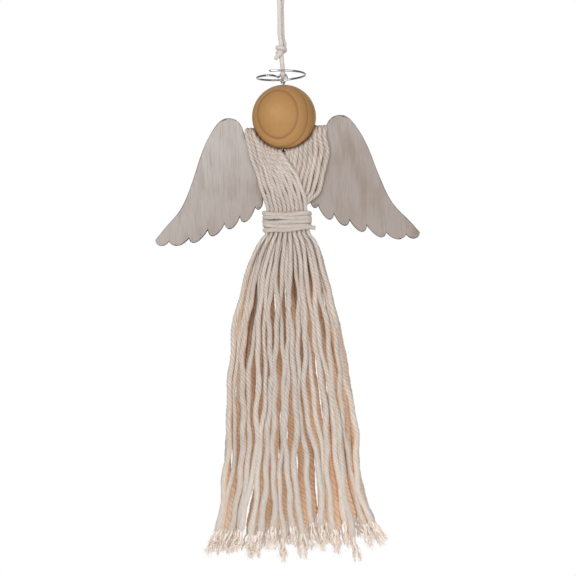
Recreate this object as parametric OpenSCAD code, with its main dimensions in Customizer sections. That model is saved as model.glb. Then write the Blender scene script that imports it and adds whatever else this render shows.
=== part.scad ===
// Tassel angel ornament: a wooden ball head on a bent wire with a halo, a plywood wing
// panel, cotton cords draped over the panel and bound at the waist, and a hanging cord.
// Millimetres, +Z up, the front of the angel faces -Y.
// The origin is where a hook bears, inside the top of the hanging loop.

/* [Head] */
// Diameter of the wooden ball
head_d = 40; // [32:1:50]
// Play round the two wire legs in the ball's bore
bore_play = 0.55; // [0.4:0.05:1.5]
// Width of the eased edge at both ends of the bore
bore_ease = 0.5; // [0.2:0.1:1.2]

/* [Halo wire] */
// Diameter of the wire
wire_d = 1.2; // [0.8:0.1:1.4]
// Radius of the halo ring, to the middle of the wire
halo_r = 15.1; // [12:0.1:20]
// Rise of the halo ring over its one turn
halo_rise = 2.5; // [2:0.1:6]
// Play of the hanging cord in the wire eye
eye_play = 0.5; // [0.5:0.05:1.1]
// Height of the eye's middle above the top of the head
eye_rise = 4.7; // [4:0.1:8]
// Gap between the two wire legs
leg_gap = 0.5; // [0.4:0.05:0.8]

/* [Wing panel] */
// Thickness of the plywood
wing_t = 3; // [2:0.1:5]
// Play round the wire in the hole that hangs on it
neck_play = 1.3; // [1.1:0.05:2]
// Distance from the neckline down to the middle of that hole
neck_hole_edge = 4.6; // [4:0.1:8]

/* [Tassel cords] */
// Cords draped over the left shoulder
left_count = 10; // [6:1:10]
// Cords draped over the right shoulder
right_count = 9; // [5:1:9]
// Cord diameter where the cords lie over the shoulders and the chest
chest_cord_d = 1.9; // [1.6:0.05:2.3]
// Cord diameter where the wrap squeezes them
waist_cord_d = 2.3; // [1.8:0.05:2.8]
// Cord diameter in the skirt
skirt_cord_d = 2.7; // [2:0.05:3.2]
// Gap between neighbouring cords over the left shoulder
left_gap = 0.36; // [0.3:0.01:0.5]
// Gap between neighbouring cords over the right shoulder
right_gap = 0.73; // [0.3:0.01:0.9]
// Gap between neighbouring cords at the waist
waist_gap = 0.25; // [0.2:0.05:0.6]
// Shoulder height, measured down from the middle of the head
shoulder_drop = 7.2; // [4:0.1:10]
// Distance from the middle of the head down to the top of the waist wrap
waist_drop = 58.2; // [56:0.1:75]
// Length of the skirt below the waist wrap
skirt_l = 192; // [120:1:260]
// Half width of the skirt at the hem
hem_w = 55; // [35:1:70]
// Half depth of the skirt at the hem
hem_depth = 19; // [12:1:19]

/* [Waist wrap] */
// Diameter of the wrapping cord
wrap_d = 2.4; // [1.8:0.1:3]
// Passes of the wrap across the front
wrap_passes = 5; // [3:1:8]
// Gap between neighbouring turns
wrap_gap = 0.45; // [0.45:0.05:1]
// Length of the tail that sticks out at the right
wrap_tail = 3.2; // [2:0.1:8]

/* [Hanging cord] */
// Diameter of the hanging cord
hanger_d = 2.6; // [2.2:0.1:2.6]
// Gap between the turns of the knot
knot_gap = 0.6; // [0.5:0.05:1]

/* [Fits] */
// Clearance between soft pieces and what they lie on
clear = 0.3; // [0.3:0.05:0.5]
// Gap between the ball and the cords under it
neck_gap = 0.7; // [0.6:0.05:1]

/* [Hidden] */
// Middle of the wire eye: the hanging cord's route below is drawn to it
eye_z = -70.3;
head_r = head_d / 2;
head_z = eye_z - eye_rise - head_r;
// The wire's eye and legs, and the holes that they run in
eye_r = hanger_d / 2 + eye_play + wire_d / 2;
leg_pitch = wire_d + leg_gap;
head_bore_d = leg_pitch + wire_d + 2 * bore_play;
bore_end = sqrt(head_r * head_r - head_bore_d * head_bore_d / 4);
neck_hole_d = wire_d + 2 * neck_play;
// Heights below the waist, from the middle of the head
wrap_pitch = wrap_d + wrap_gap;
wrap_h = (wrap_passes - 1) * wrap_pitch + wrap_d;
skirt_top = -waist_drop - wrap_h - 2;
chest_end = -waist_drop + 1;

// The folds of the cords follow an arc about the ball, and the neckline of the panel lies under them
fold_r = head_r + neck_gap + chest_cord_d / 2;
fold_h = wing_t / 2 + clear + chest_cord_d / 2;
fold_in = fold_h - chest_cord_d / 2;
neckline_r = fold_r + fold_h - sqrt(fold_in * fold_in - wing_t * wing_t / 4);
shoulder_in = wire_d / 2 + leg_pitch / 2 + chest_cord_d / 2 + 0.15;
left_shoulder = shoulder_in + (left_count - 1) * (chest_cord_d + left_gap);
right_shoulder = shoulder_in + (right_count - 1) * (chest_cord_d + right_gap);
waist_pitch = waist_cord_d + waist_gap;

// Layers of cords, measured from the middle of the panel
inner_y = wing_t / 2 + clear + chest_cord_d / 2;
outer_y = inner_y + chest_cord_d + 0.7;
waist_inner_y = waist_cord_d / 2 + 0.2;
waist_outer_y = waist_inner_y + waist_cord_d + 0.1;

// The neck hole and the wire that runs through its top
neck_hole_z = -neckline_r - neck_hole_edge;
nod_z = neck_hole_z + neck_hole_d / 2 - wire_d / 2 - clear - 0.1;
bight_y = wing_t / 2 + wire_d + 0.6;

// The cords hang straight as far as the neckline's lowest point, and then all slant together.
// The panel ends where the wrap starts to draw them in.
slant_top = -fold_r - fold_h;
squeeze_from = 0.74;
panel_foot = slant_top + squeeze_from * (chest_end - slant_top);
panel_foot_x = waist_pitch * (right_count - 1) / 2 + 4.2;

// Half the outline of the wings, from the shoulder to the tip, measured out from the wing root
// and down from the middle of the head
wing_root = max(neckline_r + 1.2, right_shoulder + 1);
leading_edge = [
    [0, -12.4], [1.7, -6], [4.8, -1.5], [10.4, 0.2], [15.9, -1.9], [21.9, -9.8], [27.4, -20.8],
    [32.8, -36], [38.2, -49.5], [43.4, -58.2], [51.2, -66.5], [58.1, -74.6],
];
// Feather tips, and the notches on the body side of each, from the outermost feather inwards
feather_tips = [
    [55.1, -78], [44.9, -78.3], [34.2, -77.1], [22.5, -73.5], [11.5, -69.3], [2.1, -65.4], [-7.6, -57.2],
];
feather_notches = [
    [49.6, -75.8], [37, -74.2], [25.1, -69.4], [14.4, -65.8], [4.8, -61.7], [-5.1, -56],
    [panel_foot_x - wing_root, panel_foot],
];

// Hanging cord: both legs and the loop above the knot, then the bight through the wire eye
loop_route = [
    [0, -1.5, -48.5], [0, -1.5, -47], [-0.5, -1.2, -42], [-0.6, -1, -36], [-0.6, -1, -24], [-2.2, -0.6, -15],
    [-4.6, 0, -8], [-4.4, 0, -3], [0, 0, 1.3], [4.4, 0, -3], [4.6, 0, -8], [2.6, 0.6, -15],
    [1.2, 1.2, -24], [1.3, 1.4, -36], [2.2, 1, -43], [3.1, 0, -47], [3.1, 0, -48.5],
];
bight_route = [
    [0, -1.5, -48.5], [0, -1.5, -57], [0, -2.1, -61], [0, -2.4, -65], [0, -2.3, -67.8],
    [0, -1.5, -69.6], [0, 0, -70.1], [0, 1.5, -69.6], [0, 2.3, -67.8], [0, 2.4, -65],
    [0, 2.1, -61], [0, 1.5, -57], [0, 1.5, -49.5],
];
// Turns of the knot round the two legs, and its tail at the lower left
knot_turns = 1.75;
knot_top = -48.5;
knot_tail = [[-4.4, -3.1, -57], [-5.4, -3.4, -59.5]];

// Curves through points
function blend(a, b, t) = a + (b - a) * t;
function ease(t) = let (c = min(1, max(0, t))) c * c * (3 - 2 * c);
function through(a, b, c, d, t) =
    0.5 * (2 * b + (c - a) * t + (2 * a - 5 * b + 4 * c - d) * t * t + (3 * b - a - 3 * c + d) * t * t * t);
function smooth(p, steps) = let (last = len(p) - 1) concat(
    [for (i = [0 : last - 1], s = [0 : steps - 1])
        through(p[max(0, i - 1)], p[i], p[i + 1], p[min(last, i + 2)], s / steps)],
    [p[last]]
);
function arch(a, b, c, d, t) =
    pow(1 - t, 3) * a + 3 * t * pow(1 - t, 2) * b + 3 * t * t * (1 - t) * c + pow(t, 3) * d;
// A repeatable value from -1 to 1 for each whole number
function jitter(n) = let (s = sin(n * 78.233 + 12.9) * 4375.85) 2 * (s - floor(s)) - 1;

// Tubes swept along a path, with a frame carried from ring to ring
function unit(v) = v / norm(v);
function heading(p, i) = unit(p[min(i + 1, len(p) - 1)] - p[max(i - 1, 0)]);
function square_to(u, t) = unit(u - (u * t) * t);
function carried(p, u) = [
    for (i = 0, n = square_to(u, heading(p, 0)); i < len(p); i = i + 1, n = square_to(n, heading(p, i))) n
];
module tube(path, radii, sides, first = [1, 0.2, 0.1]) {
    normals = carried(path, first);
    last = len(path) - 1;
    points = [
        for (i = [0 : last])
            let (t = heading(path, i), n = normals[i], b = cross(t, n))
            for (k = [0 : sides - 1])
                path[i] + radii[i] * (cos(360 * k / sides) * n + sin(360 * k / sides) * b)
    ];
    walls = [
        for (i = [0 : last - 1], k = [0 : sides - 1], half = [0, 1])
            let (a = i * sides + k, b = i * sides + (k + 1) % sides)
            half == 0 ? [a, a + sides, b + sides] : [a, b + sides, b]
    ];
    start_cap = [for (k = [1 : sides - 2]) [0, k, k + 1]];
    end_cap = [for (k = [1 : sides - 2]) let (e = last * sides) [e, e + k + 1, e + k]];
    polyhedron(points, concat(start_cap, walls, end_cap));
}
function even(path, r) = [for (p = path) r];
// Least gap of a winding to itself, between points at least "apart" places from each other
function least_gap(path, d, apart) = min([
    for (i = [0 : len(path) - 1 - apart], j = [i + apart : len(path) - 1]) norm(path[i] - path[j])
]) - d;

// Routes of the tassel cords. side is -1 for the left shoulder and 1 for the right, k counts from
// the neck outwards on the right and from the shoulder inwards on the left, face is -1 for the front.
function fold_x(side, k) = side < 0
    ? blend(-left_shoulder, -shoulder_in, k / (left_count - 1))
    : blend(shoulder_in, right_shoulder, k / (right_count - 1));
function fold_z(x) = -sqrt(max(fold_r * fold_r - x * x, shoulder_drop * shoulder_drop));
function waist_x(side, k) = waist_pitch * (k - ((side < 0 ? left_count : right_count) - 1) / 2);
function chest_top(side, k) = fold_z(fold_x(side, k)) - fold_h;
function slant(z) = min(1, max(0, (slant_top - z) / (slant_top - chest_end)));
function chest_x(side, k, z) =
    let (u = slant(z))
    blend(fold_x(side, k), waist_x(side, k), 0.5 * u + 0.5 * ease(u))
    + (side > 0 ? 2.4 * sin(180 * u) * k / (right_count - 1) : 0);
// The left cords lie on the panel until they reach the right ones, and then ride over them
function chest_y(side, k, z) =
    let (squeeze = ease((slant(z) - squeeze_from) / (1 - squeeze_from)))
    let (ahead = chest_x(side, k, z) - chest_x(1, 0, z))
    let (lift = side > 0 ? 0 : max(ease((ahead + 7) / 4), squeeze))
    blend(blend(inner_y, outer_y, lift), side > 0 ? waist_inner_y : waist_outer_y, squeeze);
// At the hem the right cords hang between the left ones, and the back ones between those in front
function hem_place(side, k) =
    (k - ((side < 0 ? left_count : right_count) - 1) / 2) / (side < 0 ? (left_count - 1) / 2 : right_count / 2);
function hem_x(side, k, face) =
    hem_w * (hem_place(side, k) + 0.25 * face / (left_count - 1)) + jitter(k + 20 * (side + 1) + 7 * (face + 1));
function hem_y(side, x) = (side < 0 ? hem_depth : hem_depth * 0.75) * sqrt(1 - pow(x / (hem_w + 9), 2));
function fanned(t) = pow(t + 0.005, 0.45);
function spread(t) = 0.78 * (fanned(t) - fanned(0)) / (fanned(1) - fanned(0)) + 0.22 * pow(t, 8);
// Neighbouring cords sway together, so that the skirt stays closed
function sway(place, face, seed, t) = t * (
    1.6 * sin(450 * t + 290 * place + 15 * face) + 0.9 * sin(800 * t - 400 * place - 15 * face)
    + 0.7 * jitter(seed + 1) * sin(180 * t) + 0.6 * jitter(seed + 2) * sin(540 * t)
);
function fall_point(side, k, face, t) =
    let (seed = 3 * k + 31 * (side + 1) + 11 * (face + 1))
    let (end_x = hem_x(side, k, face))
    let (start_y = side > 0 ? waist_inner_y : waist_outer_y)
    [
        blend(waist_x(side, k), end_x, spread(t)) + sway(hem_place(side, k), face, seed, t),
        face * (blend(start_y, hem_y(side, end_x), pow(t, 0.7)) + 0.9 * jitter(seed + 3) * sin(360 * t) * t),
        skirt_top - t * (skirt_l - 2 + 5 * jitter(seed + 4))
    ];
fold_steps = [0, 30, 60, 90];
chest_steps = [0.12, 0.26, 0.42, 0.6, 0.8, 0.9, 1];
fall_steps = [0, 0.03, 0.07, 0.13, 0.21, 0.31, 0.43, 0.56, 0.69, 0.81, 0.91, 1];
function half_route(side, k, face) = concat(
    [for (a = fold_steps)
        [fold_x(side, k), face * chest_y(side, k, chest_top(side, k)) * sin(a),
            fold_z(fold_x(side, k)) - fold_h * (1 - cos(a))]],
    [for (s = chest_steps)
        let (z = blend(chest_top(side, k), chest_end, s))
        [chest_x(side, k, z), face * chest_y(side, k, z), z]],
    [for (t = fall_steps) fall_point(side, k, face, t)]
);
half_radii = concat(
    [for (a = fold_steps) chest_cord_d / 2],
    [for (s = chest_steps) blend(chest_cord_d, waist_cord_d, ease((s - 0.8) / 0.2)) / 2],
    [for (t = fall_steps) blend(waist_cord_d, skirt_cord_d, ease(t * 4)) / 2]
);
function turned(list, skip) = [for (i = [len(list) - 1 : -1 : skip]) list[i]];
module tassel_cord(side, k) {
    translate([0, 0, head_z])
        tube(
            concat(turned(half_route(side, k, -1), 1), half_route(side, k, 1)),
            concat(turned(half_radii, 1), half_radii),
            6
        );
}
module left_cord(i) {
    color("antiquewhite") tassel_cord(-1, i - 1);
}
module right_cord(i) {
    color("linen") tassel_cord(1, i - 1);
}

// One turn of the waist wrap runs round the four corner cords of the bundle
corner_x = waist_pitch * (left_count - 1) / 2;
corner_y = waist_outer_y;
corner_r = waist_cord_d / 2 + clear + wrap_d / 2;
function wrap_point(i) =
    let (place = i % 24, corner = floor(place / 6), step = place % 6)
    let (turn = 90 * corner - 90 + 22.5 * min(step, 4))
    let (cx = corner == 0 || corner == 1 ? corner_x : -corner_x)
    let (cy = corner == 1 || corner == 2 ? corner_y : -corner_y)
    let (bend = [cx + corner_r * cos(turn), cy + corner_r * sin(turn)])
    let (flat = corner % 2 == 0 ? [corner_x + corner_r, 0] : [0, corner_y + corner_r])
    step < 5 ? bend : (corner < 2 ? flat : -flat);
// The first point is in the middle of the back, and the last in the middle of the front
wrap_start = 11;
wrap_steps = 24 * (wrap_passes - 1) + 12;
function wrap_level(i) = -waist_drop - wrap_d / 2 - wrap_pitch * (i - 12) / 24;
wrap_route = concat(
    [for (i = [0 : wrap_steps])
        let (flat = wrap_point(wrap_start + i))
        [flat[0], flat[1], wrap_level(i)]],
    [
        [corner_x, -corner_y - corner_r, wrap_level(wrap_steps + 4)],
        [corner_x + corner_r, -corner_y - corner_r, wrap_level(wrap_steps + 5)],
        [corner_x + corner_r + wrap_tail, -corner_y - corner_r + 0.4, wrap_level(wrap_steps + 6)],
    ]
);
echo("Least gap of the waist wrap to itself", least_gap(wrap_route, wrap_d, 8));
module waist_wrap() {
    color("antiquewhite")
        translate([0, 0, head_z])
            tube(wrap_route, even(wrap_route, wrap_d / 2), 6);
}

// The wire: a short end beside the eye, down through the head, through the neck hole, up again,
// round the eye and out into the halo
function eye_point(a) = [eye_r * cos(a), 0, head_r + eye_rise + eye_r * sin(a)];
leg_x = leg_pitch / 2;
halo_x = -1;
halo_first = 35;
halo_turn = 353;
function halo_point(a) = [
    halo_x - halo_r * sin(a), -halo_r * cos(a),
    head_r + eye_rise - 0.2 + halo_rise * (a - halo_first) / halo_turn
];
half_bight = [
    [leg_x, 0, 1 - head_r], [0.7, 1.2, -head_r - 1.2],
    [0.15, bight_y - 0.4, 0.6 - neckline_r], [0, bight_y, nod_z + 1.8],
    [0, bight_y - 0.5, nod_z + 0.6], [0, bight_y - 1.4, nod_z + 0.05],
];
bight_low = [for (p = half_bight) [-p[0], -p[1], p[2]]];
wire_route = concat(
    [for (a = [215, 228, 241]) eye_point(a)],
    [[-leg_x, 0, head_r + 1], [-leg_x, 0, head_r / 2], [-leg_x, 0, -head_r / 2]],
    smooth(concat(bight_low, [[0, 0, nod_z]], turned(half_bight, 0)), 2),
    [[leg_x, 0, -head_r / 2], [leg_x, 0, head_r / 2], [leg_x, 0, head_r + 1]],
    [for (a = [-61 : 22 : 159]) eye_point(a)],
    smooth([
        eye_point(172), [-3.1, -1.4, head_r + eye_rise + 0.1], [-3.9, -4.2, head_r + eye_rise + 0.1],
        [-4.9, -7.8, head_r + eye_rise], [-6.8, -10.8, head_r + eye_rise - 0.1],
        halo_point(halo_first),
    ], 2),
    [for (a = [halo_first + 8 : 8 : halo_first + halo_turn]) halo_point(a)]
);
module halo_wire() {
    color("silver")
        translate([0, 0, head_z])
            tube(wire_route, even(wire_route, wire_d / 2), 8, [0.1, 1, 0.1]);
}

module head_ball() {
    color("burlywood")
        translate([0, 0, head_z])
            difference() {
                sphere(d = head_d, $fn = 96);
                cylinder(h = head_d + 2, d = head_bore_d, center = true, $fn = 48);
                for (end = [0, 180])
                    rotate([end, 0, 0])
                        translate([0, 0, bore_end - bore_ease])
                            cylinder(h = 2 * bore_ease, d1 = head_bore_d, d2 = head_bore_d + 4 * bore_ease, $fn = 48);
            }
}

// One feather's lower edge, from the notch on its outer side round the tip to its inner notch
function feather(i) =
    let (out = i == 0 ? leading_edge[len(leading_edge) - 1] : feather_notches[i - 1])
    let (tip = feather_tips[i], in = feather_notches[i])
    [for (t = [0.12 : 0.11 : 1]) arch(out, tip + [2.2, -1.6], tip + [-3, -1.4], in, t)];
function from_root(p) = [for (q = p) [wing_root + q[0], q[1]]];
half_panel = concat(
    [for (a = [0 : 6 : 60]) neckline_r * [sin(a), -cos(a)]],
    [[neckline_r * 0.945, -10], [wing_root - 0.7, -11.2]],
    from_root(smooth(leading_edge, 4)),
    from_root([for (i = [0 : len(feather_tips) - 1]) each feather(i)]),
    [[panel_foot_x - 1.2, panel_foot + 1]]
);
panel_outline = concat(half_panel, [for (p = turned(half_panel, 1)) [-p[0], p[1]]]);
module wing_panel() {
    color("gainsboro")
        translate([0, 0, head_z])
            difference() {
                rotate([90, 0, 0])
                    linear_extrude(height = wing_t, center = true)
                        polygon(panel_outline);
                translate([0, 0, neck_hole_z])
                    rotate([90, 0, 0])
                        cylinder(h = wing_t + 2, d = neck_hole_d, center = true, $fn = 48);
            }
}

module hanging_loop() {
    color("antiquewhite") {
        route = smooth(loop_route, 2);
        tube(route, even(route, hanger_d / 2), 8);
    }
}
module hanging_bight() {
    color("antiquewhite") {
        route = smooth(bight_route, 2);
        tube(route, even(route, hanger_d / 2), 8);
    }
}
// The cord's end goes round the two legs, and its tail sticks out at the lower left
knot_x = hanger_d + clear + 0.1;
knot_y = hanger_d * 1.5 + clear + 0.2;
knot_pitch = hanger_d + knot_gap;
function knot_point(a) = [
    knot_x * cos(a), knot_y * sin(a), knot_top - 1.6 - knot_pitch * a / 360
];
knot_route = concat(
    [[3.1, 0, knot_top], [3.1, 0, knot_top - 0.8]],
    [for (a = [20 : 20 : 360 * knot_turns]) knot_point(a)],
    knot_tail
);
echo("Least gap of the knot to itself", least_gap(knot_route, hanger_d, 9));
module hanging_knot() {
    color("antiquewhite")
        tube(knot_route, even(knot_route, hanger_d / 2), 8);
}

hanging_loop();
hanging_knot();
hanging_bight();
halo_wire();
head_ball();
wing_panel();
waist_wrap();
for (i = [1 : left_count]) left_cord(i);
for (i = [1 : right_count]) right_cord(i);
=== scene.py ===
"""Looks of a tassel angel ornament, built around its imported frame.

A wooden ball head hangs on a bent wire that ends in a halo.  Under the head the wire carries
a whitewashed plywood panel with two wings.  Cotton cords are draped over the panel, crossed
on the chest and bound at the waist, and hang down as a frayed skirt.  The sizes in the
classes are millimetres, as on the bench, and the meshes are metres.
"""
import logging
import math
from dataclasses import dataclass
from enum import Enum

import bpy
import numpy as np
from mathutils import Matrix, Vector


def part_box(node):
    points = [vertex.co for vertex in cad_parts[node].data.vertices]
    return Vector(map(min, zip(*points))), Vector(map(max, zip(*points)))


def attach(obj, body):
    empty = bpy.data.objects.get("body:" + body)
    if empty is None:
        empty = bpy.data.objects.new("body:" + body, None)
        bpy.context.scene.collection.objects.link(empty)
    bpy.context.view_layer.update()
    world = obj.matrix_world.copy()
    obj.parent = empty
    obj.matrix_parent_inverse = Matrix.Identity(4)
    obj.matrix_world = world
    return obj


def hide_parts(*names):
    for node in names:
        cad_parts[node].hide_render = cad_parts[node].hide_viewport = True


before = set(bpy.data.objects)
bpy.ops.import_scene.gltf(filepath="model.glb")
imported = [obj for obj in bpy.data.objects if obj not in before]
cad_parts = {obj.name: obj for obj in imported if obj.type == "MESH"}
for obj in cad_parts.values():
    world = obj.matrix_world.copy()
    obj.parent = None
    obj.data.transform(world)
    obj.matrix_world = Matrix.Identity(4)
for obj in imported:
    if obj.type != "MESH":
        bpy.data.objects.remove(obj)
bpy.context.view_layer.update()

MM = 0.001
FULL_TURN = 2 * math.pi
LOG = logging.getLogger("tassel_angel")

Point = tuple[float, float, float]
Colour = tuple[float, float, float, float]


class Side(Enum):
    """The shoulder that a cord is draped over, as seen from the front."""

    LEFT = -1
    RIGHT = 1


class Face(Enum):
    """The face of the panel that half a cord hangs on."""

    FRONT = -1
    BACK = 1


class Mark(Enum):
    """Values stored at each mesh point for the finishes to read."""

    # Painted shade: the mark for grooves darkens cords to brown between their plies, in their crevices, along
    # the sides of the back falls and where they touch the ball.
    GROOVE = "groove"
    # Painted glow: the inward mark paints the inner sides of the falls paler and warmer, standing in for
    # light that passes through cotton.
    INWARD = "inward"
    # The tone mark is random paleness, with a painted shadow on the chest where it touches the ball.
    TONE = "tone"
    YARN = "yarn"


def linear(hex_colour: str) -> Colour:
    """Turn an sRGB hex colour into linear red, green and blue, with an alpha of 1."""
    shares = [int(hex_colour[i:i + 2], 16) / 255 for i in (1, 3, 5)]
    red, green, blue = (c / 12.92 if c <= 0.04045 else ((c + 0.055) / 1.055) ** 2.4 for c in shares)
    return red, green, blue, 1.0


def blend(a: np.ndarray | float, b: np.ndarray | float, t: np.ndarray | float) -> np.ndarray:
    """Go from a to b as t goes from 0 to 1."""
    return a + (np.asarray(b) - a) * t


def ease(t: np.ndarray | float) -> np.ndarray:
    """Go from 0 to 1 with level ends, and stay there outside."""
    c = np.clip(t, 0.0, 1.0)
    return c * c * (3 - 2 * c)


def jitter(number: int) -> float:
    """Give a repeatable value from -1 to 1 for a whole number, as part.scad does."""
    s = math.sin(math.radians(number * 78.233 + 12.9)) * 4375.85
    return 2 * (s - math.floor(s)) - 1


def curve_through(points: list[Point], steps: int) -> np.ndarray:
    """Run a smooth curve through given points, in so many steps from each to the next."""
    p = np.array([points[0], *points, points[-1]], float)
    t = (np.arange(steps) / steps)[:, None]
    runs = [
        0.5 * (2 * b + (c - a) * t + (2 * a - 5 * b + 4 * c - d) * t**2 + (3 * b - a - 3 * c + d) * t**3)
        for a, b, c, d in zip(p, p[1:], p[2:], p[3:])
    ]
    return np.vstack([*runs, p[-1:]])


def distances(path: np.ndarray) -> np.ndarray:
    """Measure how far along a path each of its points lies."""
    return np.concatenate([[0.0], np.cumsum(np.linalg.norm(np.diff(path, axis=0), axis=1))])


def evenly(table: np.ndarray, step: float) -> np.ndarray:
    """Space a path's points evenly and take off its corners.

    Args:
        table: Rows of a point and the values there, such as a radius.
        step: The wanted distance between points.

    Returns:
        The new rows.
    """
    along = distances(table[:, :3])
    wanted = np.linspace(0, along[-1], max(8, round(along[-1] / step)))
    spaced = np.stack([np.interp(wanted, along, column) for column in table.T], axis=1)
    for _ in range(3):
        spaced[1:-1] = (spaced[:-2] + 2 * spaced[1:-1] + spaced[2:]) / 4
    return spaced


def unit(vectors: np.ndarray) -> np.ndarray:
    """Bring vectors to a length of 1."""
    return vectors / np.linalg.norm(vectors, axis=-1, keepdims=True)


def carried_frames(path: np.ndarray) -> tuple[np.ndarray, np.ndarray, np.ndarray]:
    """Give a path's direction at each point and two directions square to it, carried without a turn."""
    off_axis = (0.12, 0.98, 0.16)
    ahead = unit(np.gradient(path, axis=0))
    normals = np.empty_like(path)
    normal = np.cross(ahead[0], off_axis)
    for i, direction in enumerate(ahead):
        normal = unit(normal - direction * normal.dot(direction))
        normals[i] = normal
    return ahead, normals, np.cross(ahead, normals)


@dataclass(frozen=True)
class Lay:
    """How the plies of a cord are laid: left-handed, as the photo shows."""

    length: float = 11.6
    plies: int = 4
    ply_share: float = 0.68
    slack: float = 2.4

    def turn(self, along: np.ndarray) -> np.ndarray:
        """Give the plies' turn along the cord, in places tighter and in places slacker."""
        slow, quick = np.sin(along / 9.1), np.sin(along / 3.7)
        uneven = self.slack * (slow + 0.5 * quick)
        return -FULL_TURN * (along + uneven) / self.length

    def outline(self, angles: np.ndarray) -> np.ndarray:
        """Give the cord's radius at each angle, as a share of its largest."""
        pitch = FULL_TURN / self.plies
        near = (angles + pitch / 2) % pitch - pitch / 2
        offset = 1 - self.ply_share
        return offset * np.cos(near) + np.sqrt(self.ply_share**2 - (offset * np.sin(near)) ** 2)


@dataclass
class Rings:
    """Rings of points along a tube, with the values that its finish reads."""

    points: np.ndarray
    groove: np.ndarray
    inward: np.ndarray
    yarn: np.ndarray

    def flanks(self) -> np.ndarray:
        """Mark the flanks that meet a neighbour, most where the grooves between plies run out."""
        width, least = 0.4, 0.45
        return ease(self.inward / width) * blend(least, 1.0, self.groove.clip(0, 1))

    def edges(self) -> np.ndarray:
        """Mark the two sides of the tube, between its outer and its inner face."""
        outer, inner, width = 0.25, 0.85, 0.45
        return ease(self.inward / outer) * ease((inner - self.inward) / width)

    def darken(self, groove: np.ndarray) -> None:
        """Add painted shade to what the finish shows in the grooves."""
        self.groove = np.maximum(self.groove, groove)

    def cut(self, first: int, last: int) -> "Rings":
        """Take the rings from first up to and with last."""
        part = slice(first, last + 1)
        return Rings(self.points[part], self.groove[part], self.inward[part], self.yarn[part])


def swept(
    path: np.ndarray,
    radii: np.ndarray,
    sides: int,
    lay: Lay | None = None,
    outward: np.ndarray | None = None,
    opened: np.ndarray | None = None,
) -> Rings:
    """Sweep a round or plied outline along a path.

    Args:
        path: Points in millimetres.
        radii: The radius at each point.
        sides: Points in each ring.
        lay: How the plies lie, or None for a plain round tube.
        outward: At each point the direction away from the bundle's inside.
        opened: At each point how far the plies have untwisted, from 0 to 1, or tightened, below 0.

    Returns:
        The rings, in metres.
    """
    _, normals, across = carried_frames(path)
    along = distances(path)
    angles = FULL_TURN * np.arange(sides) / sides
    turn = lay.turn(along) if lay else np.zeros(len(path))
    hollow = 1 - lay.outline(angles) if lay else np.zeros(sides)
    closed = np.ones(len(path)) if opened is None else 1 - opened
    depth = closed[:, None] * hollow[None, :]
    around = angles[None, :] + turn[:, None]
    cosine, sine = np.cos(around)[..., None], np.sin(around)[..., None]
    direction = cosine * normals[:, None, :] + sine * across[:, None, :]
    points = path[:, None, :] + (radii[:, None] * (1 - depth))[..., None] * direction
    inward = np.zeros(around.shape)
    if outward is not None:
        facing = (direction * outward[:, None, :]).sum(axis=2)
        turned_in, over = 0.55, 1.3
        inward = ease((turned_in - facing) / over)
    lengthwise = np.broadcast_to(along[:, None, None], cosine.shape)
    yarn = np.concatenate([radii[:, None, None] * cosine, radii[:, None, None] * sine, lengthwise], axis=2)
    return Rings(points * MM, depth / max(1e-9, hollow.max()), inward, yarn * MM)


class Gathered:
    """One mesh that is gathered from tubes."""

    def __init__(self) -> None:
        """Start with nothing gathered."""
        self.points: list[np.ndarray] = []
        self.faces: list[tuple[int, ...]] = []
        self.marks: dict[Mark, list[np.ndarray]] = {mark: [] for mark in Mark}
        self.count = 0

    def add(self, rings: Rings, tone: np.ndarray | float = 0.0, warmth: float = 0.0) -> None:
        """Add a tube with closed ends.

        Args:
            rings: The tube's rings.
            tone: How much paler, or darker below 0, the tube or each of its points is than its finish.
            warmth: How far the whole tube takes the warm colour that the finish paints as a glow in its
                depths.
        """
        number, sides = rings.points.shape[:2]
        first = self.count + np.arange((number - 1) * sides)
        beside = first - (first - self.count) % sides + (first - self.count + 1) % sides
        self.faces += np.stack([first, beside, beside + sides, first + sides], axis=1).tolist()
        hubs = self.count + number * sides
        last = hubs - sides
        for k in range(sides):
            after = (k + 1) % sides
            self.faces.append((hubs, self.count + after, self.count + k))
            self.faces.append((hubs + 1, last + k, last + after))
        for values, kept in (
            (rings.points, self.points),
            (rings.groove, self.marks[Mark.GROOVE]),
            (np.maximum(rings.inward, warmth), self.marks[Mark.INWARD]),
            (np.broadcast_to(tone, (number, sides)), self.marks[Mark.TONE]),
            (rings.yarn, self.marks[Mark.YARN]),
        ):
            flat = values.reshape(number * sides, *values.shape[2:])
            kept += [flat, values[:1].mean(axis=1), values[-1:].mean(axis=1)]
        self.count += number * sides + 2

    def made(self, name: str, material: bpy.types.Material) -> bpy.types.Object:
        """Make the mesh object of that name and finish, in the scene."""
        mesh = bpy.data.meshes.new(name)
        mesh.from_pydata(np.concatenate(self.points).tolist(), [], self.faces)
        for mark, values in self.marks.items():
            together = np.concatenate(values).astype(np.float32)
            kind, key = ("FLOAT_VECTOR", "vector") if together.ndim == 2 else ("FLOAT", "value")
            mesh.attributes.new(mark.value, kind, "POINT").data.foreach_set(key, together.ravel())
        mesh.shade_smooth()
        mesh.materials.append(material)
        piece = bpy.data.objects.new(name, mesh)
        bpy.context.scene.collection.objects.link(piece)
        return piece


Socket = bpy.types.NodeSocket
Input = Socket | float | Point | Colour
Band = tuple[float, float]

# Nearly all of a noise's values lie in this band.
NOISE: Band = (0.3, 0.7)


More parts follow.
